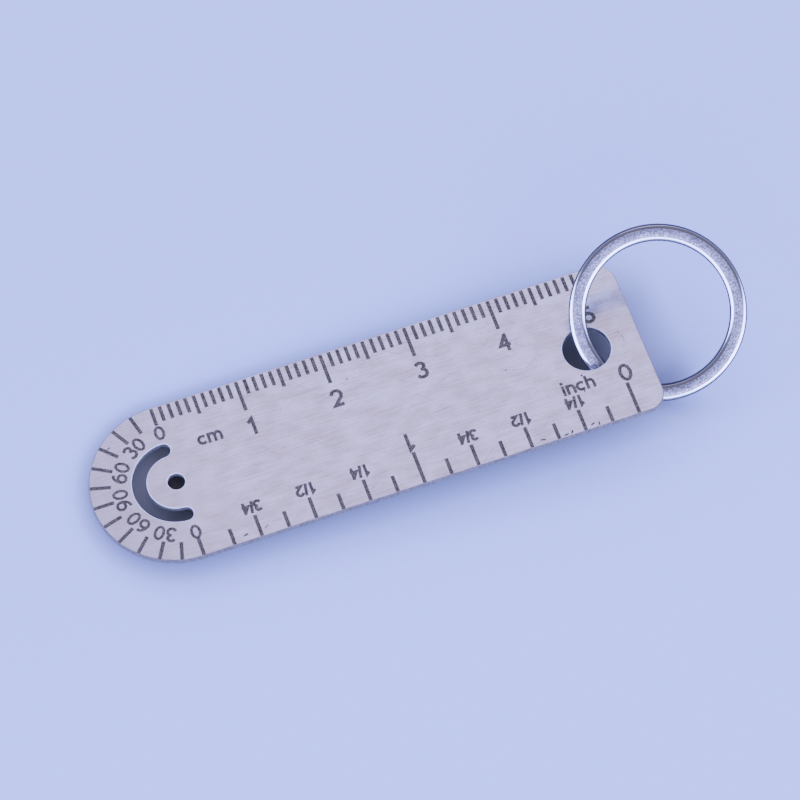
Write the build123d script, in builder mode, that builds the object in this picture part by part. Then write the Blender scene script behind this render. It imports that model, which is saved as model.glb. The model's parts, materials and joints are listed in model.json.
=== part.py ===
from build123d import *
from math import ceil, cos, degrees, radians, sin
import os

# Keychain ruler: a flat steel plate with a centimetre scale, an inch scale and a protractor
# end, and a split key ring that hangs in a hole at the other end. The origin is the middle of
# the small protractor hole, and the table lies parallel to the XY plane. Millimetres.

os.makedirs("parts", exist_ok=True)

# Plate outline; its length is the centimetre scale with a margin at the ring end and half a
# circle at the protractor end
scale_length_mm = 50
end_margin = 4.85
plate_width = 19.5
plate_thickness = 0.8
corner_radius = 2.3
edge_break = 0.12

# Holes through the plate
protractor_hole_diameter = 2.0
ring_hole_diameter = 5.54
ring_hole_inset = 6.3
slot_inset = 5.6
slot_width = 1.65
slot_sweep = 175
hole_break = 0.08

# How the plate lies: the ring under it lifts the ring end and the inch edge
end_lift = 2.1
edge_lift = 3.95

# Split key ring: flat wire in two turns, one on the other
ring_outer_diameter = 20.0
wire_flat_width = 0.95
shoulder_width = 0.475
shoulder_drop = 0.2
turn_thickness = 0.65
turn_gap = 0.05
crossover_start = 28
crossover_sweep = 30
crossover_gap = 3
crossover_steps = 3

# How the ring leaves its hole
ring_swing = 3.8
ring_lift = 15.1
ring_play = 0.09
lean_accuracy = 0.05

# Engraving, a shallow groove with a dark filling that stays just below the surface
mark_depth = 0.1
mark_sink = 0.02
tick_width = 0.43
bold_stroke = 0.42
fine_stroke = 0.35

# Centimetre scale; its rows are measured inwards from the long edge
centimetre_edge_gap = 0.2
millimetre_tick = 1.9
five_millimetre_tick = 2.42
centimetre_tick = 3.8
zero_tick = 2.2
centimetre_figure_height = 1.84
centimetre_figure_shift = 0.18
centimetre_figure_inset = 6.09
centimetre_figure_rise = 0.08
centimetre_word_x = 5.22
centimetre_word_inset = 5.63

# Inch scale, read from the other side, with its zero at the ring end
inch = 25.4
inch_zero_inset = 3.55
inch_scale_clearance = 3.5
inch_edge_gap = 0.14
eighth_tick = 2.02
quarter_tick = 2.68
inch_tick = 4.01
inch_figure_height = 1.88
inch_figure_inset = 5.45
inch_zero_figure_shift = 0.27
fraction_height = 1.15
fraction_inset = 3.86
inch_word_offset = 5.3
inch_word_inset = 5.75

# Protractor; its circles are measured inwards from the half-round edge
protractor_step = 15
protractor_print_centre = (0.1, -0.15)
protractor_tick_inset = 0.13
protractor_tick_length = 2.22
angle_figure_inset = 3.25
angle_figure_height = 1.52
angle_figure_pitch = 1.38

# Unit words, and the shapes of figures and letters as shares of their height
unit_word_height = 1.72
figure_half_width = 0.31
figure_gap = 0.2
letter_height = 0.75
letter_gap = 0.215
round_step = 36

# Worked out from the sizes above
half_width = plate_width / 2
plate_reach = scale_length_mm + end_margin
wire_width = wire_flat_width + 2 * shoulder_width
ring_hole_x = plate_reach - ring_hole_inset
mean_ring_radius = (ring_outer_diameter - wire_width) / 2
turn_step = turn_thickness + turn_gap
slot_radius = half_width - slot_inset
whole_millimetres = int(scale_length_mm)
inch_zero = plate_reach - inch_zero_inset
inch_eighths = int((inch_zero - inch_scale_clearance) / (inch / 8))

lying = Plane.XY.rotated((-edge_lift, -end_lift, 0))
top = lying.offset(plate_thickness / 2)
bottom = lying.offset(-plate_thickness / 2)
groove_floor = top.offset(-mark_depth)


# Figures: each is drawn by a stroke of even width, upright and centred on its own middle
# Round strokes are cut in short straight steps, too short to see at this size
def oval_points(middle, x_radius, y_radius, start=0, sweep=360):
    steps = ceil(abs(sweep) / round_step)
    angles = [radians(start + sweep * step / steps) for step in range(steps + 1)]
    return [(middle[0] + x_radius * cos(angle), middle[1] + y_radius * sin(angle)) for angle in angles]


def oval_stroke(middle, x_radius, y_radius, stroke):
    for growth, mode in ((stroke / 2, Mode.ADD), (-stroke / 2, Mode.SUBTRACT)):
        corners = oval_points(middle, x_radius + growth, y_radius + growth)
        Polygon(*corners[:-1], align=None, mode=mode)


def bow(middle, x_radius, y_radius, start, sweep):
    return Polyline(*oval_points(middle, x_radius, y_radius, start, sweep))


def draw_zero(half, side, stroke):
    oval_stroke((0, 0), side, half, stroke)


def draw_one(half, side, stroke):
    stem = 0.22 * side
    with BuildLine() as path:
        Polyline((-0.75 * side, 0.5 * half), (stem, half), (stem, -half - stroke / 2))
    trace(path.line, line_width=stroke)


def draw_two(half, side, stroke):
    with BuildLine() as path:
        crown = bow((0, half - side), side, side, 170, -205)
        Polyline(crown @ 1, (-0.8 * side, -half), (side, -half))
    trace(path.line, line_width=stroke)


def draw_three(half, side, stroke):
    upper_height = 0.47 * half
    lower_height = 0.57 * half
    with BuildLine() as path:
        bow((0, half - upper_height), 0.85 * side, upper_height, 160, -250)
    trace(path.line, line_width=stroke)
    with BuildLine() as path:
        bow((0, lower_height - half), side, lower_height, 90, -250)
    trace(path.line, line_width=stroke)


def draw_four(half, side, stroke):
    stem = 0.4 * side
    bar = -0.35 * half
    with BuildLine() as path:
        Polyline((1.1 * side, bar), (-side, bar), (stem, half))
    trace(path.line, line_width=stroke)
    draw_stem(stem, -half - stroke / 2, half + stroke / 2, stroke)


def draw_five(half, side, stroke):
    with BuildLine() as path:
        bow((0, side - half), side, side, 130, -290)
    trace(path.line, line_width=stroke)
    with BuildLine() as path:
        Polyline((0.85 * side, half), (-0.55 * side, half), (-0.75 * side, 0.06 * half))
    trace(path.line, line_width=stroke)


def draw_six(half, side, stroke):
    oval_stroke((0, side - half), side, side, stroke)
    with BuildLine() as path:
        Polyline(
            (-side, side - half),
            (-0.9 * side, 0.15 * half),
            (-0.55 * side, 0.6 * half),
            (0, 0.88 * half),
            (0.75 * side, half),
        )
    trace(path.line, line_width=stroke)


def draw_slash(half, side, stroke):
    end = half + stroke / 2
    with BuildLine() as path:
        Line((-side, -end), (side, end))
    trace(path.line, line_width=stroke)


# Small letters stand on a base line at the bottom of their height
def draw_stem(x, low, high, stroke):
    with BuildLine() as path:
        Line((x, low), (x, high))
    trace(path.line, line_width=stroke)


def draw_arch(left, right, half, stroke):
    round_part = (right - left) / 2
    crown_line = 2 * half * letter_height - half - stroke / 2
    with BuildLine() as path:
        crown = bow(((left + right) / 2, crown_line - round_part), round_part, round_part, 180, -180)
        Line(crown @ 1, (right, -half))
    trace(path.line, line_width=stroke)


def draw_c(half, side, stroke):
    radius = half * letter_height - stroke / 2
    with BuildLine() as path:
        bow((radius - side, radius + stroke / 2 - half), radius, radius, 45, 270)
    trace(path.line, line_width=stroke)


def draw_m(half, side, stroke):
    draw_stem(-side, -half, 2 * half * letter_height - half, stroke)
    draw_arch(-side, 0, half, stroke)
    draw_arch(0, side, half, stroke)


def draw_n(half, side, stroke):
    draw_stem(-side, -half, 2 * half * letter_height - half, stroke)
    draw_arch(-side, side, half, stroke)


def draw_h(half, side, stroke):
    draw_stem(-side, -half, half, stroke)
    draw_arch(-side, side, half, stroke)


def draw_i(half, side, stroke):
    draw_stem(0, -half, 2 * half * letter_height - half, stroke)
    draw_stem(0, half - 0.8 * stroke, half + 0.2 * stroke, stroke)


draw_character = {
    "0": draw_zero,
    "1": draw_one,
    "2": draw_two,
    "3": draw_three,
    "4": draw_four,
    "5": draw_five,
    "6": draw_six,
    "/": draw_slash,
    "c": draw_c,
    "m": draw_m,
    "n": draw_n,
    "h": draw_h,
    "i": draw_i,
}
own_half_width = {"/": 0.12, "m": 0.41, "n": 0.22, "h": 0.22, "c": 0.235, "i": 0.06}


def half_width_of(sign, height):
    return own_half_width.get(sign, figure_half_width) * height


def character(sign, height, stroke):
    side = half_width_of(sign, height)
    with BuildSketch(Plane.XY) as shape:
        draw_character[sign](height / 2, side, stroke)
    return shape.sketch


def word(text, height, stroke):
    """Characters side by side, centred on their common middle."""
    shapes = [character(sign, height, stroke) for sign in text]
    widths = [2 * half_width_of(sign, height) for sign in text]
    gap = height * (letter_gap if text.isalpha() else figure_gap)
    x = -(sum(widths) + gap * (len(text) - 1)) / 2
    with BuildSketch(Plane.XY) as shape:
        for drawn, width in zip(shapes, widths):
            with Locations((x + width / 2, 0)):
                add(drawn)
            x += width + gap
    return shape.sketch


def set_down(shape, place, turn=0):
    """Engrave a shape at this place, turned by this angle."""
    with Locations(Location((*place, 0), (0, 0, turn))):
        add(shape)


def centimetre_side_tick(x, length):
    with Locations((x, half_width - centimetre_edge_gap - length / 2)):
        Rectangle(tick_width, length)


def inch_side_tick(x, length):
    with Locations((x, inch_edge_gap + length / 2 - half_width)):
        Rectangle(tick_width, length)


# Centimetre ticks, from a zero that the protractor shares
with BuildSketch(groove_floor) as centimetre_tick_shape:
    for millimetre in range(whole_millimetres + 1):
        x = protractor_print_centre[0] + millimetre
        if millimetre == 0:
            centimetre_side_tick(x, zero_tick)
        elif millimetre % 10 == 0:
            centimetre_side_tick(x, centimetre_tick)
        elif millimetre % 5 == 0:
            centimetre_side_tick(x, five_millimetre_tick)
        else:
            centimetre_side_tick(x, millimetre_tick)

# Centimetre numbers and their unit
centimetre_labels = [
    word(str(number + 1), centimetre_figure_height, bold_stroke)
    for number in range(whole_millimetres // 10)
]
centimetre_word = word("cm", unit_word_height, fine_stroke)
with BuildSketch(groove_floor) as centimetre_number_shape:
    for number, label in enumerate(centimetre_labels):
        row = half_width - centimetre_figure_inset + centimetre_figure_rise * number
        set_down(label, (10 * (number + 1) + centimetre_figure_shift, row))
    set_down(centimetre_word, (centimetre_word_x, half_width - centimetre_word_inset))

# Inch ticks, in eighths from the ring end
with BuildSketch(groove_floor) as inch_tick_shape:
    for eighth in range(inch_eighths + 1):
        x = inch_zero - eighth * inch / 8
        if eighth % 8 == 0:
            inch_side_tick(x, inch_tick)
        elif eighth % 2 == 0:
            inch_side_tick(x, quarter_tick)
        else:
            inch_side_tick(x, eighth_tick)

# Inch numbers, fractions and their unit
fractions = [word(text, fraction_height, fine_stroke) for text in ("1/4", "1/2", "3/4")]
whole_inches = [
    word(str(number), inch_figure_height, bold_stroke) for number in range(inch_eighths // 8 + 1)
]
inch_word = word("inch", unit_word_height, fine_stroke)
with BuildSketch(groove_floor) as inch_number_shape:
    for quarter in range(inch_eighths // 2 + 1):
        x = inch_zero - quarter * inch / 4
        if quarter == 0:
            zero_x = x + inch_zero_figure_shift
            set_down(whole_inches[0], (zero_x, inch_figure_inset - half_width), 180)
        elif quarter % 4 == 0:
            set_down(whole_inches[quarter // 4], (x, inch_figure_inset - half_width), 180)
        else:
            set_down(fractions[quarter % 4 - 1], (x, fraction_inset - half_width), 180)
    set_down(inch_word, (inch_zero - inch_word_offset, inch_word_inset - half_width))

# Protractor numbers, clockwise round the half circle with their feet towards the centre
angle_figures = {sign: character(sign, angle_figure_height, fine_stroke) for sign in "036"}
angle_figure_radius = half_width - angle_figure_inset
angle_figure_spread = degrees(angle_figure_pitch / angle_figure_radius)
with BuildSketch(groove_floor) as angle_number_shape:
    with Locations(protractor_print_centre):
        for direction in range(90, 271, 2 * protractor_step):
            signs = str(90 - abs(direction - 180))
            for place, sign in enumerate(signs):
                lead = angle_figure_spread * ((len(signs) - 1) / 2 - place)
                with PolarLocations(angle_figure_radius, 1, direction + lead):
                    if sign == "9":
                        set_down(angle_figures["6"], (0, 0), 90)
                    else:
                        set_down(angle_figures[sign], (0, 0), -90)

# Protractor ticks, kept clear of the numbers; the first shares the zero of the centimetres
with BuildSketch(groove_floor) as angle_tick_shape:
    with Locations(protractor_print_centre):
        for direction in range(90 + protractor_step, 271, protractor_step):
            with PolarLocations(half_width - protractor_tick_inset, 1, direction):
                Rectangle(2 * protractor_tick_length, tick_width)
    Circle(half_width - edge_break, mode=Mode.INTERSECT)
    add(angle_number_shape.sketch, mode=Mode.SUBTRACT)

mark_shapes = {
    "centimetre_ticks": centimetre_tick_shape,
    "centimetre_numbers": centimetre_number_shape,
    "inch_ticks": inch_tick_shape,
    "inch_numbers": inch_number_shape,
    "angle_ticks": angle_tick_shape,
    "angle_numbers": angle_number_shape,
}

# Plate: outline, ring hole, protractor hole and slot, with every edge broken
with BuildPart() as ruler_plate:
    with BuildSketch(bottom):
        Circle(half_width)
        with Locations((plate_reach / 2, 0)):
            Rectangle(plate_reach, plate_width)
        square_corners = [v for v in vertices() if v.X > plate_reach / 2]
        fillet(square_corners, corner_radius)
    extrude(amount=plate_thickness)
    chamfer(edges(), edge_break)
    with BuildSketch(bottom):
        with Locations((ring_hole_x, 0)):
            Circle(ring_hole_diameter / 2)
        Circle(protractor_hole_diameter / 2)
        SlotArc(CenterArc((0, 0), slot_radius, 180 - slot_sweep / 2, slot_sweep), slot_width)
    outline_edges = edges()
    extrude(amount=plate_thickness, mode=Mode.SUBTRACT)
    rims = edges() - outline_edges
    chamfer(rims.filter_by(lambda edge: edge.geom_type != GeomType.LINE), hole_break)
    for shape in mark_shapes.values():
        extrude(shape.sketch, amount=mark_depth, mode=Mode.SUBTRACT)

ruler_plate.part.label = "ruler_plate"
export_step(ruler_plate.part, "parts/ruler_plate.step")

# Dark fillings of the grooves
for name, shape in mark_shapes.items():
    with BuildPart() as filling:
        extrude(shape.sketch, amount=mark_depth - mark_sink)
    filling.part.label = name
    export_step(filling.part, f"parts/{name}.step")


# Split ring: it leaves the hole at the middle of its wire, and leans over until the wire nearly
# touches both rims of the hole
upper = turn_step / 2
near_hole = 40


def hinge_plane(lean):
    """Plane in the middle of the ring hole with X towards the middle of the ring."""
    return lying.moved(Location((ring_hole_x, 0, 0), (ring_swing, -ring_lift, lean), Intrinsic.ZYX))


def ring_plane(lean):
    """Plane in the middle of the ring, with X back towards the hole."""
    return hinge_plane(lean).moved(Location((mean_ring_radius, 0, 0), (0, 0, 180)))


def wire_plane(ring, angle, level):
    """Plane across the wire at this angle round the ring and this height in its thickness."""
    turned = ring.moved(Location((0, 0, 0), (0, 0, angle)))
    return turned.moved(Location((mean_ring_radius, 0, level), (90, 0, 0)))


def wire_section(plane):
    edge = turn_thickness / 2 - shoulder_drop
    quarter = [(wire_flat_width / 2, turn_thickness / 2), (wire_width / 2, edge)]
    right = quarter + [(x, -y) for x, y in reversed(quarter)]
    with BuildSketch(plane) as section:
        Polygon(*right, *[(-x, -y) for x, y in right], align=None)
    return section.sketch


with BuildPart() as hole_rims:
    with BuildSketch(bottom):
        with Locations((ring_hole_x, 0)):
            Circle(ring_hole_diameter)
            Circle(ring_hole_diameter / 2, mode=Mode.SUBTRACT)
    extrude(amount=plate_thickness)
    chamfer(edges().filter_by(GeomType.CIRCLE).group_by(SortBy.RADIUS)[0], hole_break)


def play_at(lean):
    """Free space between the stretch of wire near the hole and the rims of the hole."""
    ring = ring_plane(lean)
    sections = [wire_section(wire_plane(ring, -near_hole, level)) for level in (-upper, upper)]
    with BuildPart() as wire_in_hole:
        for section in sections:
            revolve(section, axis=Axis(ring.origin, ring.z_dir), revolution_arc=2 * near_hole)
    return hole_rims.part.distance_to(wire_in_hole.part)


lying_flat = 0
standing_up = 90
while standing_up - lying_flat > lean_accuracy:
    lean = (lying_flat + standing_up) / 2
    if play_at(lean) < ring_play:
        lying_flat = lean
    else:
        standing_up = lean
ring_lean = standing_up
ring = ring_plane(ring_lean)
ring_axis = Axis(ring.origin, ring.z_dir)
turn_sweep = 360 - crossover_sweep - crossover_gap
crossover_end = crossover_start + crossover_sweep
lower_section = wire_section(wire_plane(ring, crossover_end + crossover_gap, -upper))
upper_section = wire_section(wire_plane(ring, crossover_end, upper))
crossover_sections = [
    wire_section(
        wire_plane(
            ring,
            crossover_start + crossover_sweep * step / crossover_steps,
            turn_step * (step / crossover_steps - 0.5),
        )
    )
    for step in range(crossover_steps + 1)
]
with BuildPart() as split_ring:
    revolve(lower_section, axis=ring_axis, revolution_arc=turn_sweep)
    revolve(upper_section, axis=ring_axis, revolution_arc=turn_sweep)
    loft(crossover_sections)

split_ring.part.label = "split_ring"
export_step(split_ring.part, "parts/split_ring.step")

hinge = hinge_plane(ring_lean)
play = hole_rims.part.distance_to(split_ring.part)
print("ring leans", round(ring_lean, 2), "degrees, free space in the hole", round(play, 3))
print("hinge point", hinge.origin, "axis", hinge.x_dir)
print("ring middle", ring.origin, "axis", ring.z_dir)
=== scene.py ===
# %% [markdown]
# # A keychain ruler on a pale table
# The object is a flat steel ruler, half-round at one end, with a split key ring at the other.
# The construction model gives every piece its true size and place. This script dresses it:
# brushed and frosted steel, dark engraving, nicks and scratches, a table, lights and a camera.
# Lengths of the object are written in millimetres, because its own scales are, and are
# turned into metres where Blender needs them. The table and the lamps are sized in metres.

# %% Load the construction model
import json
from math import cos, degrees, radians, sin

import bmesh
import bpy
from mathutils import Matrix, Vector


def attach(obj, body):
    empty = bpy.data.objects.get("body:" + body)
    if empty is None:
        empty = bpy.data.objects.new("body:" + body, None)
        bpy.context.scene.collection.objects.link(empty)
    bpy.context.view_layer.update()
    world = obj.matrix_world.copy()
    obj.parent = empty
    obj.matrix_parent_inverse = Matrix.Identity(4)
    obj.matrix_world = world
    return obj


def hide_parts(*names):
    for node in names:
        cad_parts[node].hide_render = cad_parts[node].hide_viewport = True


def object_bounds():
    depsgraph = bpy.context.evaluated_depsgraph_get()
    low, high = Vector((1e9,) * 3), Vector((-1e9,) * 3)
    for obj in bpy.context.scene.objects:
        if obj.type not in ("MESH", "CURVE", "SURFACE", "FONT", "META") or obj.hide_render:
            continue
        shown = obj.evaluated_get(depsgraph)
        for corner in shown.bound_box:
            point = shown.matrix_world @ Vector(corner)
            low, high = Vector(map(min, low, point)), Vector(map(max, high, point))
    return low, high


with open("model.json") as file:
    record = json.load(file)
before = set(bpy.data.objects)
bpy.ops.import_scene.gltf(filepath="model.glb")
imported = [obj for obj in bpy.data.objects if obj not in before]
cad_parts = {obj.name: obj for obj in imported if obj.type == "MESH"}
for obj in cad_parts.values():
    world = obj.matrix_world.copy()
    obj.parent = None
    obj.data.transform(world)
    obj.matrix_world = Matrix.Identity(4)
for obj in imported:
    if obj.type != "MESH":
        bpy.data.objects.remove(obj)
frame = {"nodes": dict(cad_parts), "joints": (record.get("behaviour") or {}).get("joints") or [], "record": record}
cad_bounds = [list(corner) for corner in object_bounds()]
record = frame["record"]
MM = 0.001
print("construction model spans", cad_bounds)

# %% [markdown]
# The plate doesn't lie quite flat, because the ring passes under it and lifts one end. Its
# lean could be typed in as two angles, but it is worked out instead, so that it stays right if
# the ring changes. Two facts in the record give it: the protractor hole's axis stands square
# to the plate, and the plate's width has no slope along X. Everything on the plate is then
# placed in the plate's axes, with x along the scale and y towards the centimetre edge.

# %% The plate's own axes
mounts = {mount["name"]: mount for mount in record["mounts"]}
plate_up = Vector(mounts["protractor_hole"]["axis"]).normalized()
plate_across = plate_up.cross(Vector((1, 0, 0))).normalized()
plate_along = plate_across.cross(plate_up)
plate_turn = Matrix((plate_along, plate_across, plate_up)).transposed()

plate_thickness = 0.8
plate_top = plate_thickness / 2
print("plate leans by", round(degrees(plate_up.angle(Vector((0, 0, 1)))), 2), "degrees")

# %% [markdown]
# The camera looks down steeply from far away through a long lens, which is why the two long
# edges of the ruler look almost parallel. A lens close by would let them run together. Its
# place could be typed in as a point, but is set by where it looks, how far away it stands, its
# height above the table and how far it is rolled, because each of those can be judged alone.

# %% Camera
camera_aim = Vector((26.72, 1.28, 1.0)) * MM
camera_distance = 520.45 * MM
camera_azimuth = radians(-113.56)
camera_height = radians(65.53)
camera_roll = radians(4.68)
camera_lens = 209.28

camera_data = bpy.data.cameras.new("camera")
camera_data.lens = camera_lens
camera_data.sensor_width = 36
camera_data.clip_start = 0.01
camera = bpy.data.objects.new("camera", camera_data)
bpy.context.scene.collection.objects.link(camera)
back = Vector((
    cos(camera_height) * cos(camera_azimuth),
    cos(camera_height) * sin(camera_azimuth),
    sin(camera_height),
))
level_right = Vector((0, 0, 1)).cross(back).normalized()
level_up = back.cross(level_right)
right = level_right * cos(camera_roll) + level_up * sin(camera_roll)
up = back.cross(right)
camera_turn = Matrix((right, up, back)).transposed().to_4x4()
camera.matrix_world = Matrix.Translation(camera_aim + back * camera_distance) @ camera_turn
bpy.context.scene.camera = camera
print("camera stands at", [round(c, 4) for c in camera.matrix_world.translation])

# %% [markdown]
# Every finish here is a node tree that reads the place of a point on the object, so it needs no
# picture and no unwrapping. A few short helpers keep each tree readable. These make a material
# and its nodes.

# %% Helpers for nodes


def new_material(name):
    """A material, its tree and its shader."""
    material = bpy.data.materials.new(name)
    material.use_nodes = True
    shader = material.node_tree.nodes["Principled BSDF"]
    return material, material.node_tree, shader


def add_node(tree, kind, **settings):
    node = tree.nodes.new(kind)
    for name, value in settings.items():
        setattr(node, name, value)
    return node


def math_node(tree, operation, first, second):
    """Two values reckoned into one, where either may be a number or another node's output."""
    node = add_node(tree, "ShaderNodeMath", operation=operation)
    for socket, value in zip(node.inputs, (first, second)):
        if isinstance(value, (int, float)):
            socket.default_value = value
        else:
            tree.links.new(value, socket)
    return node.outputs["Value"]


def spread(tree, value, span, result=(0.0, 1.0)):
    """The value, with the span that it covers mapped to the result's range and cut off there."""
    node = add_node(tree, "ShaderNodeMapRange", clamp=True)
    node.inputs["From Min"].default_value = span[0]
    node.inputs["From Max"].default_value = span[1]
    node.inputs["To Min"].default_value = result[0]
    node.inputs["To Max"].default_value = result[1]
    tree.links.new(value, node.inputs["Value"])
    return node.outputs["Result"]


def mix_colours(tree, factor, first, second):
    """Two colours mixed, where either may be a colour or another node's output."""
    node = add_node(tree, "ShaderNodeMix", data_type="RGBA")
    tree.links.new(factor, node.inputs["Factor"])
    for socket, colour in ((node.inputs["A"], first), (node.inputs["B"], second)):
        if isinstance(colour, tuple):
            socket.default_value = (*colour, 1)
        else:
            tree.links.new(colour, socket)
    return node.outputs["Result"]


def raise_surface(tree, shader, height, depth):
    """Light the surface as if it rose by this height from 0 to 1, times the depth in metres."""
    bump = add_node(tree, "ShaderNodeBump")
    bump.inputs["Distance"].default_value = depth
    tree.links.new(height, bump.inputs["Height"])
    tree.links.new(bump.outputs["Normal"], shader.inputs["Normal"])


print("materials from the construction model:", len(bpy.data.materials))

# %% [markdown]
# Noise is laid on coordinates that are scaled first, so its size is given as cells per metre.
# Along the plate the coordinates are turned into the plate's own axes, because brushed lines
# must follow the sheet and not the table under it.

# %% Helpers for places and noise


def object_place(tree):
    """The outputs X, Y and Z of a point's place on the object, in metres."""
    place = add_node(tree, "ShaderNodeTexCoord")
    parts = add_node(tree, "ShaderNodeSeparateXYZ")
    tree.links.new(place.outputs["Object"], parts.inputs["Vector"])
    return parts.outputs


def even_coordinates(tree, cells_per_metre):
    """Object coordinates scaled alike on all sides."""
    place = add_node(tree, "ShaderNodeTexCoord")
    stretch = add_node(tree, "ShaderNodeMapping", vector_type="POINT")
    stretch.inputs["Scale"].default_value = (cells_per_metre,) * 3
    tree.links.new(place.outputs["Object"], stretch.inputs["Vector"])
    return stretch.outputs["Vector"]


def plate_coordinates(tree, cells_per_metre):
    """Object coordinates turned into the plate's axes and scaled by three numbers of cells."""
    place = add_node(tree, "ShaderNodeTexCoord")
    turn = add_node(tree, "ShaderNodeMapping", vector_type="POINT")
    turn.inputs["Rotation"].default_value = plate_turn.transposed().to_euler("XYZ")
    tree.links.new(place.outputs["Object"], turn.inputs["Vector"])
    stretch = add_node(tree, "ShaderNodeMapping", vector_type="POINT")
    stretch.inputs["Scale"].default_value = cells_per_metre
    tree.links.new(turn.outputs["Vector"], stretch.inputs["Vector"])
    return stretch.outputs["Vector"]


def noise(tree, coordinates, detail, roughness=0.55):
    """Noise from 0 to 1 on these coordinates, mostly near 0.5."""
    texture = add_node(tree, "ShaderNodeTexNoise", noise_dimensions="3D")
    texture.inputs["Scale"].default_value = 1.0
    texture.inputs["Detail"].default_value = detail
    texture.inputs["Roughness"].default_value = roughness
    tree.links.new(coordinates, texture.inputs["Vector"])
    return texture.outputs["Fac"]


print("noise follows the plate's axes, turned by", plate_turn.to_euler("XYZ"))

# %% [markdown]
# The plate is brushed sheet steel: very fine lines along the sheet spread a reflection across
# them. A picture of brushed metal could be wrapped on it, but noise that is stretched a
# hundred times along the plate needs no picture and never repeats. It gives those lines, in
# the bump, in the roughness and faintly in the colour. Broad soft noise adds the cloudy
# handling marks of a used ruler. Towards the half-round end a painted shade makes the steel a
# little darker, standing in for the dimmer part of the room that the plate mirrors there.

# %% Brushed steel of the plate
plate_colour_dark = (0.73, 0.715, 0.72)
plate_colour_light = (0.97, 0.96, 0.98)
line_cells = (220, 26000, 26000)
line_span = (0.3, 0.7)
line_roughness = (0.20, 0.30)
streak_cells = (260, 7000, 7000)
streak_span = (0.40, 0.60)
streak_share = 0.6
streak_relief = 0.6
cloud_cells = (420, 620, 620)
cloud_span = (0.38, 0.62)
cloud_share = 0.4
cloud_dull_span = (0.35, 0.65)
cloud_adds_roughness = 0.06
# painted shade: the steel darkens towards the half-round end over this span along X
painted_end_shade_span = (-9.5 * MM, 7.5 * MM)
brushed_depth = 0.0022 * MM


def brushed_steel():
    material, tree, shader = new_material("brushed_steel")
    lines = noise(tree, plate_coordinates(tree, line_cells), detail=4)
    streaks = noise(tree, plate_coordinates(tree, streak_cells), detail=3)
    clouds = noise(tree, plate_coordinates(tree, cloud_cells), detail=5)
    streak_tone = spread(tree, streaks, streak_span, (0.0, streak_share))
    cloud_tone = spread(tree, clouds, cloud_span, (0.0, cloud_share))
    # painted shade: darker towards the half-round end, where the plate mirrors a dimmer part of the room
    painted_end_shade = spread(tree, object_place(tree)["X"], painted_end_shade_span)
    tone = math_node(
        tree, "MULTIPLY", math_node(tree, "ADD", streak_tone, cloud_tone), painted_end_shade
    )
    colour = mix_colours(tree, tone, plate_colour_dark, plate_colour_light)
    tree.links.new(colour, shader.inputs["Base Color"])
    shader.inputs["Metallic"].default_value = 1.0
    roughness = math_node(
        tree,
        "ADD",
        spread(tree, lines, line_span, line_roughness),
        spread(tree, clouds, cloud_dull_span, (0.0, cloud_adds_roughness)),
    )
    tree.links.new(roughness, shader.inputs["Roughness"])
    broad_relief = math_node(tree, "MULTIPLY", streaks, streak_relief)
    raise_surface(tree, shader, math_node(tree, "ADD", lines, broad_relief), brushed_depth)
    return material


plate_steel = brushed_steel()
print("material", plate_steel.name, "has", len(plate_steel.node_tree.nodes), "nodes")

# %% [markdown]
# Where the plate was cut out, its metal is torn and has no brushed lines. The walls of the
# openings are painted dark as shade, and the narrow breaks round them are painted light as a
# highlight. The outer walls are the plate's steel painted darker and browner as shade, with
# breaks along them painted dark as shade, which draw the plate's outline. One mixed material
# could find all of these by itself, but four plain ones from one function are easier to set,
# because they differ only in their colours, in how metallic they are and in roughness.

# %% Finishes of the cut edges
tear_cells = (6000, 6000, 1500)
tear_span = (0.40, 0.60)
tear_depth = 0.008 * MM


def torn_metal(name, dark, light, metallic, roughness):
    """Metal with a fine torn grain between these two colours."""
    material, tree, shader = new_material(name)
    tears = noise(tree, plate_coordinates(tree, tear_cells), detail=3)
    colour = mix_colours(tree, spread(tree, tears, tear_span), dark, light)
    tree.links.new(colour, shader.inputs["Base Color"])
    shader.inputs["Metallic"].default_value = metallic
    shader.inputs["Roughness"].default_value = roughness
    raise_surface(tree, shader, tears, tear_depth)
    return material


# painted shade: the walls of the openings are coloured dark for the shade inside them
shaded_opening_walls = torn_metal(
    "painted_shade_cut_walls", dark=(0.09, 0.085, 0.075), light=(0.23, 0.22, 0.20), metallic=0.4, roughness=0.6
)
# painted highlight: the breaks round the openings are coloured light for the glint along them
highlit_opening_rims = torn_metal(
    "painted_highlight_rims", dark=(0.72, 0.67, 0.62), light=(0.88, 0.83, 0.78), metallic=0.0, roughness=0.35
)
# painted shade: the outer walls are the plate's steel coloured darker and browner
shaded_outer_walls = torn_metal(
    "shaded_outer_walls", dark=(0.30, 0.25, 0.18), light=(0.46, 0.39, 0.28), metallic=0.9, roughness=0.32
)
# painted shade: the outer breaks are coloured dark, which draws the plate's outline
shaded_outer_breaks = torn_metal(
    "shaded_outer_breaks", dark=(0.15, 0.13, 0.12), light=(0.27, 0.235, 0.215), metallic=0.7, roughness=0.45
)
print("materials of the edges:", shaded_opening_walls.name, highlit_opening_rims.name, shaded_outer_walls.name, shaded_outer_breaks.name)

# %% [markdown]
# The engraving was burnt in by a laser that pulses as it travels, so each line is a dark,
# matt, speckled stripe. Solid black would look like print. Noise with cells of about an eighth
# of a millimetre gives the specks, in colour and in bump, and a broader one varies the gloss.

# %% Burnt engraving
burnt_dark = (0.008, 0.006, 0.003)
burnt_light = (0.190, 0.150, 0.084)
burnt_metallic = 0.2
burnt_specular = 0.3
speck_cells = (7500, 7500, 7500)
speck_span = (0.42, 0.68)
speck_depth = 0.01 * MM
burnt_patch_cells = (1500, 1500, 1500)
burnt_patch_span = (0.3, 0.7)
burnt_roughness = (0.6, 0.8)


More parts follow.
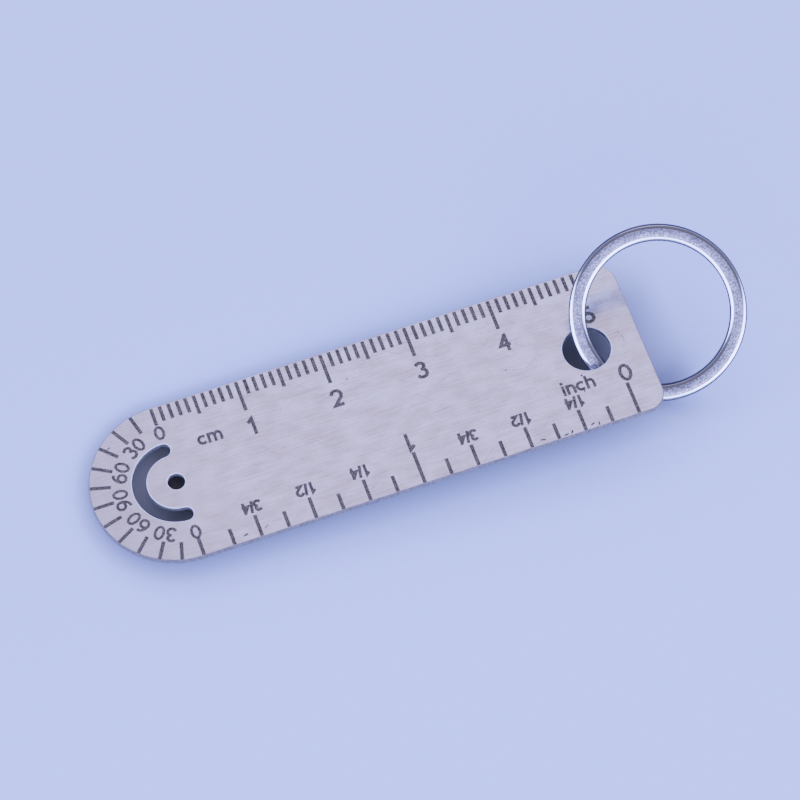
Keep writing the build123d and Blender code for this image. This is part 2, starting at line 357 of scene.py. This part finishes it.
def burnt_metal():
    material, tree, shader = new_material("burnt_metal")
    specks = noise(tree, plate_coordinates(tree, speck_cells), detail=1)
    patches = noise(tree, plate_coordinates(tree, burnt_patch_cells), detail=3)
    colour = mix_colours(tree, spread(tree, specks, speck_span), burnt_dark, burnt_light)
    tree.links.new(colour, shader.inputs["Base Color"])
    shader.inputs["Metallic"].default_value = burnt_metallic
    shader.inputs["Specular IOR Level"].default_value = burnt_specular
    roughness = spread(tree, patches, burnt_patch_span, burnt_roughness)
    tree.links.new(roughness, shader.inputs["Roughness"])
    raise_surface(tree, shader, specks, speck_depth)
    return material


engraving = burnt_metal()
print("material", engraving.name, "has", len(engraving.node_tree.nodes), "nodes")

# %% [markdown]
# The ring is hard-drawn flat wire. Its flat side is frosted, with a sandy grain, its rounded
# shoulders are polished and its narrow sides are painted dark and dull as shade, which draws a
# dark outline. Each could be a material of its own, but then the change from one to the next
# would follow the faces. Here one material does all three: the wire's mesh carries a value
# "across", which is 0 in the middle of the wire and 1 at its sides. A second value, "lift", is
# the height above the ring's middle plane, and it paints shade on the lower turn and the
# underside of the upper one, which is what the plate mirrors.

# %% Frosted and polished steel of the ring
ring_frosted_dark = (0.21, 0.195, 0.205)
ring_frosted_light = (0.74, 0.69, 0.75)
ring_polished = (0.90, 0.90, 0.92)
# painted shade: the narrow sides are dark and without gloss, which draws the ring's dark outline
ring_shaded_side = (0.05, 0.045, 0.045)
# painted shade: the lower turn and the underside of the upper one are darker
ring_shaded_underside = (0.10, 0.09, 0.10)
ring_shaded_side_specular = (0.5, 0.0)
frost_ends = (0.45, 0.55)
side_starts = (0.81, 0.87)
shaded_underside_ends = (0.08 * MM, 0.22 * MM)
grain_cells = 5200
grain_span = (0.41, 0.61)
grain_depth = 0.02 * MM
ring_patch_cells = 900
ring_patch_span = (0.3, 0.7)
ring_patch_relief = 0.1
polished_roughness = 0.10
frost_adds_roughness = (0.24, 0.34)


def ring_metal():
    material, tree, shader = new_material("ring_metal")
    grain = noise(tree, even_coordinates(tree, grain_cells), detail=2.5, roughness=0.75)
    patches = noise(tree, even_coordinates(tree, ring_patch_cells), detail=3)
    across = add_node(tree, "ShaderNodeAttribute", attribute_name="across").outputs["Fac"]
    lift = add_node(tree, "ShaderNodeAttribute", attribute_name="lift").outputs["Fac"]
    shoulder = spread(tree, across, frost_ends)
    frost = math_node(tree, "SUBTRACT", 1.0, shoulder)
    # painted shade on the sides, and below the ring's middle plane
    side = spread(tree, across, side_starts)
    below = spread(tree, lift, shaded_underside_ends, (1.0, 0.0))

    sandy = mix_colours(tree, spread(tree, grain, grain_span), ring_frosted_dark, ring_frosted_light)
    top_colour = mix_colours(tree, shoulder, sandy, ring_polished)
    face_colour = mix_colours(tree, below, top_colour, ring_shaded_underside)
    tree.links.new(mix_colours(tree, side, face_colour, ring_shaded_side), shader.inputs["Base Color"])
    tree.links.new(math_node(tree, "SUBTRACT", 1.0, side), shader.inputs["Metallic"])
    side_gloss = spread(tree, side, (0.0, 1.0), ring_shaded_side_specular)
    tree.links.new(side_gloss, shader.inputs["Specular IOR Level"])

    added = spread(tree, patches, ring_patch_span, frost_adds_roughness)
    dull = math_node(tree, "MULTIPLY", frost, added)
    tree.links.new(math_node(tree, "ADD", dull, polished_roughness), shader.inputs["Roughness"])
    sand = math_node(tree, "MULTIPLY", grain, frost)
    waves = math_node(tree, "MULTIPLY", patches, ring_patch_relief)
    raise_surface(tree, shader, math_node(tree, "ADD", sand, waves), grain_depth)
    return material


ring_steel = ring_metal()
print("material", ring_steel.name, "has", len(ring_steel.node_tree.nodes), "nodes")

# %% [markdown]
# The plate's solid is right, but it arrives as loose flat triangles, so its round end and
# holes would glint in facets. Blender's own smooth shading would smear the broad faces into
# the walls. So a copy with its triangles joined is given its shading directions by a rule. The
# broad faces look straight up or down, the walls look outwards and are smooth where they
# curve, and the narrow edge breaks between them turn from one to the other, like a deburred
# stamping. No point of the shape moves.

# %% Smooth copy of the plate
join_distance = 0.002 * MM
broad_face = 0.98
wall_face = 0.2
face_tolerance = 0.005
smooth_turn = cos(radians(30))


def linked(name, data):
    """A new object that shows this mesh or curve."""
    piece = bpy.data.objects.new(name, data)
    bpy.context.scene.collection.objects.link(piece)
    return piece


def joined_copy(node, name):
    """A copy of a node's mesh in which neighbouring triangles share their corners."""
    joined = bmesh.new()
    joined.from_mesh(frame["nodes"][node].data)
    bmesh.ops.remove_doubles(joined, verts=joined.verts, dist=join_distance)
    mesh = bpy.data.meshes.new(name)
    joined.to_mesh(mesh)
    joined.free()
    return mesh


def wall_normals(mesh):
    """For each vertex, the normals of the walls that meet there, weighted by their area."""
    walls = {}
    for face in mesh.polygons:
        if abs(face.normal.dot(plate_up)) < wall_face:
            for vertex in face.vertices:
                walls.setdefault(vertex, []).append(face.normal * face.area)
    return walls


def shade_like_stamping(mesh):
    """Set the shading direction at every corner of every face by the rule above."""
    walls = wall_normals(mesh)
    directions = []
    for face in mesh.polygons:
        face.use_smooth = True
        rise = face.normal.dot(plate_up)
        outwards = (face.normal - plate_up * rise).normalized()
        for vertex in face.vertices:
            height = mesh.vertices[vertex].co.dot(plate_up) / MM
            on_broad_face = abs(abs(height) - plate_top) < face_tolerance
            smooth_walls = [
                wall for wall in walls.get(vertex, [])
                if wall.normalized().dot(outwards) > smooth_turn
            ]
            if abs(rise) > broad_face:
                directions.append(face.normal)
            elif abs(rise) > wall_face and on_broad_face:
                directions.append(plate_up * (1 if rise > 0 else -1))
            elif smooth_walls:
                directions.append(sum(smooth_walls, Vector()).normalized())
            else:
                directions.append(face.normal)
    mesh.normals_split_custom_set(directions)


plate = linked("brushed_plate", joined_copy("ruler_plate", "brushed_plate"))
shade_like_stamping(plate.data)
print("plate has", len(plate.data.polygons), "faces")

# %% [markdown]
# The five finishes of the plate are given out by two questions about each face: which way it
# looks, and whether it lies in one of the two places where the plate has openings. Faces could
# be picked by hand in the viewport, but a rule finds them again whenever the plate changes.

# %% Finishes on the faces of the plate
protractor_reach = 6.0
ring_hole_reach = 4.0
hole_middle = Vector(frame["joints"][0]["pos_m"])
opening_places = (
    (Vector((0, 0)), protractor_reach),
    ((plate_turn.transposed() @ hole_middle / MM).xy, ring_hole_reach),
)
plate_finishes = [plate_steel, shaded_opening_walls, highlit_opening_rims, shaded_outer_walls, shaded_outer_breaks]


def finish_of(face):
    """The finish of a broad face, a wall or a break, in an opening or on the outside."""
    spot = (plate_turn.transposed() @ face.center / MM).xy
    inside = any((spot - middle).length < reach for middle, reach in opening_places)
    rise = abs(face.normal.dot(plate_up))
    if rise < wall_face:
        return shaded_opening_walls if inside else shaded_outer_walls
    if rise < broad_face:
        return highlit_opening_rims if inside else shaded_outer_breaks
    return plate_steel


plate.data.materials.clear()
for finish in plate_finishes:
    plate.data.materials.append(finish)
for face in plate.data.polygons:
    face.material_index = plate_finishes.index(finish_of(face))
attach(plate, "ruler")
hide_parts("ruler_plate")
for index, finish in enumerate(plate_finishes):
    count = sum(face.material_index == index for face in plate.data.polygons)
    print(count, "faces of the plate in", finish.name)

# %% [markdown]
# The engraved lines and figures are shallow fillings of grooves in the plate. They could be
# painted on as a mask, but the construction model already holds each stroke as a solid, so
# they keep their solids and only take the burnt finish.

# %% Engraved marks
mark_nodes = (
    "centimetre_ticks", "centimetre_numbers", "inch_ticks", "inch_numbers", "angle_ticks", "angle_numbers",
)
for node in mark_nodes:
    mark = frame["nodes"][node]
    mark.data.materials.clear()
    mark.data.materials.append(engraving)
print("burnt finish on", len(mark_nodes), "nodes")

# %% [markdown]
# The split ring is one flat wire in two turns, one above the other. Its frame is taken from
# the record: the middle and axis of the ring, and the way from there to the hole that holds
# it. Its sizes are those of the construction model.

# %% Sizes and place of the ring
ring_outer_radius = 10.0
wire_flat_width = 0.95
shoulder_width = 0.475
turn_thickness = 0.65
turn_gap = 0.05
crossover_start = 28
crossover_sweep = 30
crossover_gap = 3
wire_width = wire_flat_width + 2 * shoulder_width
mean_ring_radius = ring_outer_radius - wire_width / 2
turn_step = turn_thickness + turn_gap

ring_eye = mounts["key_ring_eye"]
ring_middle = Vector(ring_eye["pos_m"])
ring_up = Vector(ring_eye["axis"]).normalized()
ring_to_hole = (hole_middle - ring_middle).normalized()
ring_across = ring_up.cross(ring_to_hole)
ring_turn = Matrix((ring_to_hole, ring_across, ring_up)).transposed().to_4x4()
ring_frame = Matrix.Translation(ring_middle) @ ring_turn
print("ring leans by", round(degrees(ring_up.angle(Vector((0, 0, 1)))), 1), "degrees")

# %% [markdown]
# The wire was rolled flat, so its broad sides are barely crowned and its shoulders are round.
# A box with bevelled edges would show flat facets there, and a polished shoulder shows every
# facet. So a quarter of the outline is drawn from two rules, a parabola for the crown and a
# Bezier arc for the shoulder, and repeated for the other three. The arc stays inside the
# construction model's own sloping shoulder.

# %% Section of the wire
flat_crown = 0.030
crown_places = (0.2, 0.4, 0.6, 0.8, 0.95)
shoulder_steps = 10
upper_guide_reach = 0.66
upper_guide_height = 0.29
lower_guide_height = 0.18


def shoulder_point(part):
    """A point of the round shoulder, part of the way from the flat's edge to the side."""
    guides = (
        (wire_flat_width / 2, turn_thickness / 2 - flat_crown),
        (wire_flat_width / 2 + upper_guide_reach * shoulder_width, upper_guide_height * turn_thickness),
        (wire_width / 2, lower_guide_height * turn_thickness),
        (wire_width / 2, 0),
    )
    rest = 1 - part
    weights = (rest ** 3, 3 * part * rest ** 2, 3 * part ** 2 * rest, part ** 3)
    return tuple(sum(w * guide[side] for w, guide in zip(weights, guides)) for side in (0, 1))


def wire_section():
    """Outline of the wire as a closed curve."""
    flat = [
        (place * wire_flat_width / 2, turn_thickness / 2 - flat_crown * place ** 2)
        for place in crown_places
    ]
    quarter = flat + [shoulder_point(step / shoulder_steps) for step in range(shoulder_steps + 1)]
    half = quarter + [(x, -y) for x, y in reversed(quarter[:-1])]
    outline = half + [(-x, -y) for x, y in half]
    curve = bpy.data.curves.new("wire_section", "CURVE")
    curve.dimensions = "3D"
    spline = curve.splines.new("POLY")
    spline.points.add(len(outline) - 1)
    for point, (x, y) in zip(spline.points, outline):
        point.co = (x * MM, y * MM, 0, 1)
    spline.use_cyclic_u = True
    return linked("wire_section", curve)


section = wire_section()
print("section of the wire has", len(section.data.splines[0].points), "points")

# %% [markdown]
# Geometry Nodes make the pieces that follow a rule. Built in a script, a tree soon drowns in
# calls that add and link nodes, so one small class keeps them short. It also runs a finished
# tree once and keeps its result as a plain mesh.

# %% A short way to write Geometry Nodes


def finished_mesh(piece, name):
    """The piece's mesh with all its modifiers carried out."""
    ready = piece.evaluated_get(bpy.context.evaluated_depsgraph_get())
    mesh = bpy.data.meshes.new_from_object(ready)
    mesh.name = name
    return mesh


class Tree:
    """A Geometry Nodes tree with short calls for its nodes."""

    def __init__(self, name):
        self.group = bpy.data.node_groups.new(name, "GeometryNodeTree")
        for way in ("INPUT", "OUTPUT"):
            self.group.interface.new_socket("Geometry", in_out=way, socket_type="NodeSocketGeometry")
        self.sockets = {}
        self.values = {}

    def value(self, name, kind, default):
        """Declare a named input and the value that it gets."""
        socket = self.group.interface.new_socket(name, in_out="INPUT", socket_type=kind)
        self.sockets[name] = socket.identifier
        self.values[name] = default

    def open(self):
        """The tree's named inputs, once all are declared."""
        return self.group.nodes.new("NodeGroupInput").outputs

    def put(self, kind, inputs=(), **settings):
        """Add a node and give its inputs values or links."""
        node = self.group.nodes.new(kind)
        for name, setting in settings.items():
            setattr(node, name, setting)
        for name, value in dict(inputs).items():
            socket = node.inputs[name]
            if isinstance(value, bpy.types.NodeSocket):
                self.group.links.new(value, socket)
            else:
                socket.default_value = value
        return node

    def math(self, operation, *values):
        return self.put("ShaderNodeMath", dict(enumerate(values)), operation=operation).outputs[0]

    def random(self, low, high, seed):
        """A random number from low to high for each point."""
        low_input, high_input, seed_input = 2, 3, 8
        limits = {low_input: low, high_input: high, seed_input: seed}
        return self.put("FunctionNodeRandomValue", limits, data_type="FLOAT").outputs[1]

    def store(self, geometry, name, value):
        """Note a value on each point of the mesh under this name."""
        noted = {"Geometry": geometry, "Name": name, "Value": value}
        return self.put(
            "GeometryNodeStoreNamedAttribute", noted, data_type="FLOAT", domain="POINT"
        ).outputs[0]

    def close(self, geometry, finish):
        """End the tree with a real mesh in this finish."""
        real = self.put("GeometryNodeRealizeInstances", {"Geometry": geometry}).outputs[0]
        dressed = self.put("GeometryNodeSetMaterial", {"Geometry": real, "Material": finish})
        leave = self.group.nodes.new("NodeGroupOutput")
        self.group.links.new(dressed.outputs[0], leave.inputs[0])
        return self

    def run(self, name):
        """Run the tree on an empty mesh and keep the result as a plain mesh."""
        piece = linked(name, bpy.data.meshes.new(name))
        modifier = piece.modifiers.new("nodes", "NODES")
        modifier.node_group = self.group
        for socket, value in self.values.items():
            modifier[self.sockets[socket]] = value
        bpy.context.view_layer.update()
        piece.data = finished_mesh(piece, name)
        piece.modifiers.clear()
        return piece


print("a tree has the calls", [name for name in vars(Tree) if not name.startswith("_")])

# %% [markdown]
# Along its length the wire keeps to one level, crosses over to the other level within a short
# stretch, and goes round once more. A Screw modifier would climb evenly all the way, which a
# split ring doesn't. So points along a line are bent round the ring by their place in the row,
# they climb only in the crossover, and the section is swept along them. The tree then notes
# the values "across" and "lift" on the mesh for the ring's material.

# %% Split ring
wire_steps = 685


def ring_path(tree, given):
    """The middle line of the wire as a curve."""
    line = tree.put("GeometryNodeCurvePrimitiveLine").outputs[0]
    row = tree.put("GeometryNodeResampleCurve", {"Curve": line, "Count": given["Steps"]}).outputs[0]
    place = tree.put("GeometryNodeSplineParameter").outputs["Factor"]
    whole = tree.math("ADD", tree.math("MULTIPLY", given["Turn"], 2.0), given["Crossover"])
    gone = tree.math("MULTIPLY", place, whole)
    angle = tree.math("ADD", gone, given["Start"])
    climb = tree.put("ShaderNodeMapRange", {
        "Value": gone,
        "From Min": given["Turn"],
        "From Max": tree.math("ADD", given["Turn"], given["Crossover"]),
        "To Min": -0.5,
        "To Max": 0.5,
    }).outputs[0]
    point = tree.put("ShaderNodeCombineXYZ", {
        "X": tree.math("MULTIPLY", tree.math("COSINE", angle), given["Radius"]),
        "Y": tree.math("MULTIPLY", tree.math("SINE", angle), given["Radius"]),
        "Z": tree.math("MULTIPLY", climb, given["Turn step"]),
    }).outputs[0]
    bent = tree.put("GeometryNodeSetPosition", {"Geometry": row, "Position": point}).outputs[0]
    return tree.put("GeometryNodeSetCurveNormal", {"Curve": bent}, mode="Z_UP").outputs[0]


def ring_tree():
    tree = Tree("split_ring_tree")
    tree.value("Steps", "NodeSocketInt", wire_steps)
    tree.value("Radius", "NodeSocketFloat", mean_ring_radius * MM)
    tree.value("Turn step", "NodeSocketFloat", turn_step * MM)
    tree.value("Start", "NodeSocketFloat", radians(crossover_start + crossover_sweep + crossover_gap))
    tree.value("Turn", "NodeSocketFloat", radians(360 - crossover_sweep - crossover_gap))
    tree.value("Crossover", "NodeSocketFloat", radians(crossover_sweep))
    tree.value("Section", "NodeSocketObject", section)
    tree.value("Half width", "NodeSocketFloat", wire_width / 2 * MM)
    tree.value("Finish", "NodeSocketMaterial", ring_steel)
    given = tree.open()
    path = ring_path(tree, given)
    outline = tree.put("GeometryNodeObjectInfo", {"Object": given["Section"]}).outputs["Geometry"]
    wire = tree.put("GeometryNodeCurveToMesh", {
        "Curve": path, "Profile Curve": outline, "Fill Caps": True,
    }).outputs[0]
    position = tree.put("GeometryNodeInputPosition").outputs[0]
    spot = tree.put("ShaderNodeSeparateXYZ", {"Vector": position}).outputs
    squares = tree.math(
        "ADD",
        tree.math("MULTIPLY", spot["X"], spot["X"]),
        tree.math("MULTIPLY", spot["Y"], spot["Y"]),
    )
    off_middle = tree.math("SUBTRACT", tree.math("SQRT", squares), given["Radius"])
    across = tree.math("DIVIDE", tree.math("ABSOLUTE", off_middle), given["Half width"])
    noted = tree.store(tree.store(wire, "across", across), "lift", spot["Z"])
    return tree.close(noted, given["Finish"])


split_ring = ring_tree().run("two_turn_wire")
bpy.data.objects.remove(section)
split_ring.data.transform(ring_frame)
for face in split_ring.data.polygons:
    face.use_smooth = len(face.vertices) == 4
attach(split_ring, "key_ring")
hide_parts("split_ring")
print("ring has", len(split_ring.data.polygons), "faces")

# %% [markdown]
# Years on a bunch of keys leave marks. The few dark nicks that the photo shows are listed by
# place, length, width and turn, in the plate's axes, because each has its own place. The last
# three together are one short curved scratch near the ring hole.

# %% Nicks in the plate
nicks = (
    (5.2, -8.9, 0.70, 0.22, 15),
    (7.65, -8.7, 0.75, 0.11, 35),
    (22.0, 5.65, 0.40, 0.14, 30),
    (40.0, -9.1, 0.75, 0.18, -10),
    (42.7, -9.40, 0.65, 0.20, 5),
    (43.4, -9.3, 0.55, 0.22, 60),
    (45.9, -9.15, 0.65, 0.20, 20),
    (46.6, -9.3, 0.50, 0.20, 80),
    (46.85, -3.0, 0.30, 0.24, 40),
    (46.5, -4.95, 0.42, 0.16, 70),
    (39.1, 0.55, 0.22, 0.18, 0),
    (-5.85, 6.45, 0.60, 0.14, 25),
    (52.6, 0.7, 0.55, 0.06, 110),
    (52.85, 0.1, 0.75, 0.06, 97),
    (52.85, -0.5, 0.45, 0.06, 80),
)


def nick_points():
    """The listed nicks as loose points that carry their length, width and turn."""
    mesh = bpy.data.meshes.new("nick_points")
    mesh.from_pydata([(x * MM, y * MM, 0) for x, y, *_ in nicks], [], [])
    lengths, widths, turns = list(zip(*nicks))[2:]
    for name, unit, values in (
        ("length", MM, lengths), ("width", MM, widths), ("turn", radians(1), turns),
    ):
        attribute = mesh.attributes.new(name, "FLOAT", "POINT")
        attribute.data.foreach_set("value", [value * unit for value in values])
    return linked("nick_points", mesh)


listed_nicks = nick_points()
print("nicks:", len(listed_nicks.data.vertices))

# %% [markdown]
# Hairline scratches are strewn at random over the part of the plate that has no openings. They
# could be drawn in the steel's material, but a scratch that is a thin flat sliver, three
# thousandths of a millimetre above the plate, keeps its sharp ends at any distance. The nicks
# are slivers too, so one helper makes both, each sliver a stretched circle with eight corners.

# %% Slivers
sliver_lift = 0.003
sliver_corners = 8
strewn_length = 36
strewn_width = 18
strewn_middle = 25
scratches_per_square_metre = 140000.0
longest_scratch = 3.4
shortest_share = 0.2
scratch_widths = (0.010, 0.028)
widest_lean = 0.9
length_seed = 7
width_seed = 3
lean_seed = 4


def slivers(tree, points, length, width, turn):
    """A flat sliver at each point."""
    circle = tree.put(
        "GeometryNodeMeshCircle", {"Vertices": sliver_corners, "Radius": 0.5}, fill_type="NGON"
    )
    angles = tree.put("ShaderNodeCombineXYZ", {"Z": turn})
    return tree.put("GeometryNodeInstanceOnPoints", {
        "Points": points,
        "Instance": circle.outputs[0],
        "Rotation": tree.put("FunctionNodeEulerToRotation", {"Euler": angles.outputs[0]}).outputs[0],
        "Scale": tree.put("ShaderNodeCombineXYZ", {"X": length, "Y": width, "Z": 1.0}).outputs[0],
    }).outputs[0]


def strewn_points(tree, given):
    """Random points on a rectangle of the plate."""
    sheet = tree.put("GeometryNodeMeshGrid", {
        "Size X": given["Strewn length"],
        "Size Y": given["Strewn width"],
        "Vertices X": 2,
        "Vertices Y": 2,
    }).outputs[0]
    placed = tree.put("GeometryNodeTransform", {
        "Geometry": sheet, "Translation": given["Strewn middle"],
    }).outputs[0]
    return tree.put("GeometryNodeDistributePointsOnFaces", {
        "Mesh": placed, "Density": given["Scratches per square metre"], "Seed": given["Seed"],
    }).outputs["Points"]


print("scratches to expect:", round(scratches_per_square_metre * strewn_length * strewn_width * MM ** 2))

# %% [markdown]
# One tree of Geometry Nodes makes the nicks from their list and the scratches by chance, and
# joins them. Each scratch gets a random length, width and lean. All seeds are fixed, so the
# plate is worn in the same places in every render. The slivers are made in the plate's own
# axes, where their places are easy to read, and moved to just above its face at the end.

# %% Nicks and hairline scratches


def wear_tree(points, finish):
    tree = Tree("wear_tree")
    tree.value("Nicks", "NodeSocketObject", points)
    tree.value("Strewn length", "NodeSocketFloat", strewn_length * MM)
    tree.value("Strewn width", "NodeSocketFloat", strewn_width * MM)
    tree.value("Strewn middle", "NodeSocketVector", (strewn_middle * MM, 0, 0))
    tree.value("Scratches per square metre", "NodeSocketFloat", scratches_per_square_metre)
    tree.value("Longest scratch", "NodeSocketFloat", longest_scratch * MM)
    tree.value("Seed", "NodeSocketInt", length_seed)
    tree.value("Finish", "NodeSocketMaterial", finish)
    given = tree.open()
    listed = tree.put("GeometryNodeObjectInfo", {"Object": given["Nicks"]}).outputs["Geometry"]
    length, width, turn = (
        tree.put("GeometryNodeInputNamedAttribute", {"Name": name}, data_type="FLOAT").outputs[0]
        for name in ("length", "width", "turn")
    )
    share = tree.random(shortest_share, 1.0, given["Seed"])
    scratch_length = tree.math("MULTIPLY", share, given["Longest scratch"])
    scratch_width = tree.random(*(limit * MM for limit in scratch_widths), width_seed)
    lean = tree.random(-widest_lean, widest_lean, lean_seed)
    scratches = slivers(tree, strewn_points(tree, given), scratch_length, scratch_width, lean)
    both = tree.put("GeometryNodeJoinGeometry")
    for part in (slivers(tree, listed, length, width, turn), scratches):
        tree.group.links.new(part, both.inputs[0])
    return tree.close(both.outputs[0], given["Finish"])


nick_steel = torn_metal(
    "worn_metal", dark=(0.010, 0.009, 0.008), light=(0.06, 0.053, 0.045), metallic=0.3, roughness=0.5
)
wear = wear_tree(listed_nicks, nick_steel).run("nicks_and_scratches")
bpy.data.objects.remove(listed_nicks)
on_plate = Matrix.Translation(plate_up * (plate_top + sliver_lift) * MM) @ plate_turn.to_4x4()
wear.data.transform(on_plate)
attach(wear, "ruler")
print("slivers of wear:", len(wear.data.polygons))

# %% [markdown]
# The table is a plain pale sheet, wide enough to fill the view, and it lies where the lowest
# point of the ruler touches it. A painted shade makes it a little darker away from the camera.
# Little light reaches a real table under a ruler, so what shows through the slot and the holes
# is in deep shade. The lamps here are too soft and wide for that, so a dark patch of shade is
# painted on the sheet there. The painted shade follows the ruler: a strip with a half circle at
# the round end, darkest under the middle and gone two millimetres past the long edges, where it
# paints a soft shadow along them. At the other end it fades out under the ring.

# %% Table
table_half = 1.5
table_colour = (0.445, 0.505, 0.745)
table_far_shade = 0.89
table_far_shade_span = (-25 * MM, 25 * MM)
table_far_shade_share = 0.8
table_cells = 900
table_grain_span = (0.3, 0.7)
table_grain_share = 0.2
table_roughness = 0.7
table_painted_shade = (0.160, 0.155, 0.120)
patch_side_span = (6.2 * MM, 11.8 * MM)
patch_end_span = (51.5 * MM, 60 * MM)


def painted_shade_under_ruler(tree, place):
    """How much painted shade lies on the table: 1 well under the ruler, 0 on the open table."""
    off_middle_line = add_node(tree, "ShaderNodeCombineXYZ")
    past_centre = math_node(tree, "MINIMUM", place["X"], 0.0)
    tree.links.new(past_centre, off_middle_line.inputs["X"])
    tree.links.new(place["Y"], off_middle_line.inputs["Y"])
    distance = add_node(tree, "ShaderNodeVectorMath", operation="LENGTH")
    tree.links.new(off_middle_line.outputs["Vector"], distance.inputs[0])
    within = spread(tree, distance.outputs["Value"], patch_side_span, (1.0, 0.0))
    before_end = spread(tree, place["X"], patch_end_span, (1.0, 0.0))
    return math_node(tree, "MULTIPLY", within, before_end)


def pale_table():
    material, tree, shader = new_material("pale_table")
    place = object_place(tree)
    grain = noise(tree, even_coordinates(tree, table_cells), detail=4)
    # painted shade: the table is a little darker away from the camera
    fade = spread(tree, place["Y"], table_far_shade_span, (0.0, table_far_shade_share))
    specks = spread(tree, grain, table_grain_span, (0.0, table_grain_share))
    far_shaded_colour = tuple(table_far_shade * part for part in table_colour)
    tone = math_node(tree, "ADD", fade, specks)
    open_table = mix_colours(tree, tone, table_colour, far_shaded_colour)
    # painted shade under the ruler, and a soft painted shadow along its edges
    colour = mix_colours(tree, painted_shade_under_ruler(tree, place), open_table, table_painted_shade)
    tree.links.new(colour, shader.inputs["Base Color"])
    shader.inputs["Roughness"].default_value = table_roughness
    return material


table_mesh = bpy.data.meshes.new("table")
table_corners = [(x * table_half, y * table_half, 0) for x, y in ((-1, -1), (1, -1), (1, 1), (-1, 1))]
table_mesh.from_pydata(table_corners, [], [(0, 1, 2, 3)])
table_mesh.materials.append(pale_table())
table = linked("table", table_mesh)
table.location = (0, 0, cad_bounds[0][2])
print("table lies at", round(cad_bounds[0][2] / MM, 3), "mm")

# %% [markdown]
# The ruler lies in a soft bluish surround. A wide band of light runs round the room a little
# above the table, and it whitens the polished shoulders of the ring. Overhead, where the
# camera looks down from, the room is nearly dark, which keeps the holes dark and the frosted
# side of the ring grey. A picture of a studio could light the scene as well, but a ramp of six
# levels, from the horizon to overhead, says the same in numbers that can be set one by one.

# %% Light of the room
band_light = (4.1, 4.7, 12.0)
overhead_light = (0.17, 0.16, 0.24)
room_levels = (
    (0.00, 0.0, band_light),
    (0.14, 0.03, band_light),
    (0.26, 1.0, band_light),
    (0.58, 1.0, band_light),
    (0.70, 1.0, overhead_light),
    (1.00, 1.0, overhead_light),
)
strongest = max(band_light)

world = bpy.data.worlds.new("room")
world.use_nodes = True
bpy.context.scene.world = world
room = world.node_tree
looking = add_node(room, "ShaderNodeTexCoord").outputs["Generated"]
height_part = add_node(room, "ShaderNodeSeparateXYZ")
room.links.new(looking, height_part.inputs["Vector"])
levels = add_node(room, "ShaderNodeValToRGB")
for height, *_ in room_levels[1:-1]:
    levels.color_ramp.elements.new(height)
for element, (height, level, light) in zip(levels.color_ramp.elements, room_levels):
    element.position = height
    element.color = (*(part * level / strongest for part in light), 1)
room.links.new(height_part.outputs["Z"], levels.inputs["Fac"])
room.links.new(levels.outputs["Color"], room.nodes["Background"].inputs["Color"])
room.nodes["Background"].inputs["Strength"].default_value = strongest
print("room has", len(levels.color_ramp.elements), "levels of light")

# %% [markdown]
# Flat metal shows what it mirrors, so its grey is set by a lamp more than by its own colour.
# One large panel stands where the plate mirrors it into the camera. It has a tint of its own,
# because the plate has to come out greyer than the bluish table. A second, smaller panel
# stands lower on the near right side and brightens the crowned flat and the shoulders of the
# ring. Spot lamps would be simpler, but they leave hard points of light on polished wire.

# %% Panels
panel_distance = 0.8
mirror_panel_size = (0.55, 0.45)
mirror_panel_power = 0.74
mirror_panel_light = (0.79, 0.60, 1.0)
side_panel_size = (0.45, 0.35)
side_panel_power = 0.8
side_panel_light = (0.80, 0.76, 1.0)
side_panel_towards_camera = 1.3
side_panel_to_right = 0.8
side_panel_below = 0.9


def soft_panel(name, towards, size, power, colour):
    """A rectangular lamp in this direction from the middle of the ruler, facing it."""
    data = bpy.data.lights.new(name, "AREA")
    data.shape = "RECTANGLE"
    data.size = size[0]
    data.size_y = size[1]
    data.energy = power
    data.color = colour
    lamp = linked(name, data)
    lamp.location = camera_aim + towards * panel_distance
    lamp.rotation_euler = (-towards).to_track_quat("-Z", "Y").to_euler()
    return lamp


mirrored = (2 * plate_up.dot(back) * plate_up - back).normalized()
near_right = (
    back * side_panel_towards_camera + right * side_panel_to_right - up * side_panel_below
).normalized()
soft_panel("mirror_panel", mirrored, mirror_panel_size, mirror_panel_power, mirror_panel_light)
soft_panel("side_panel", near_right, side_panel_size, side_panel_power, side_panel_light)
print("the plate mirrors the direction", [round(part, 3) for part in mirrored])

# %% [markdown]
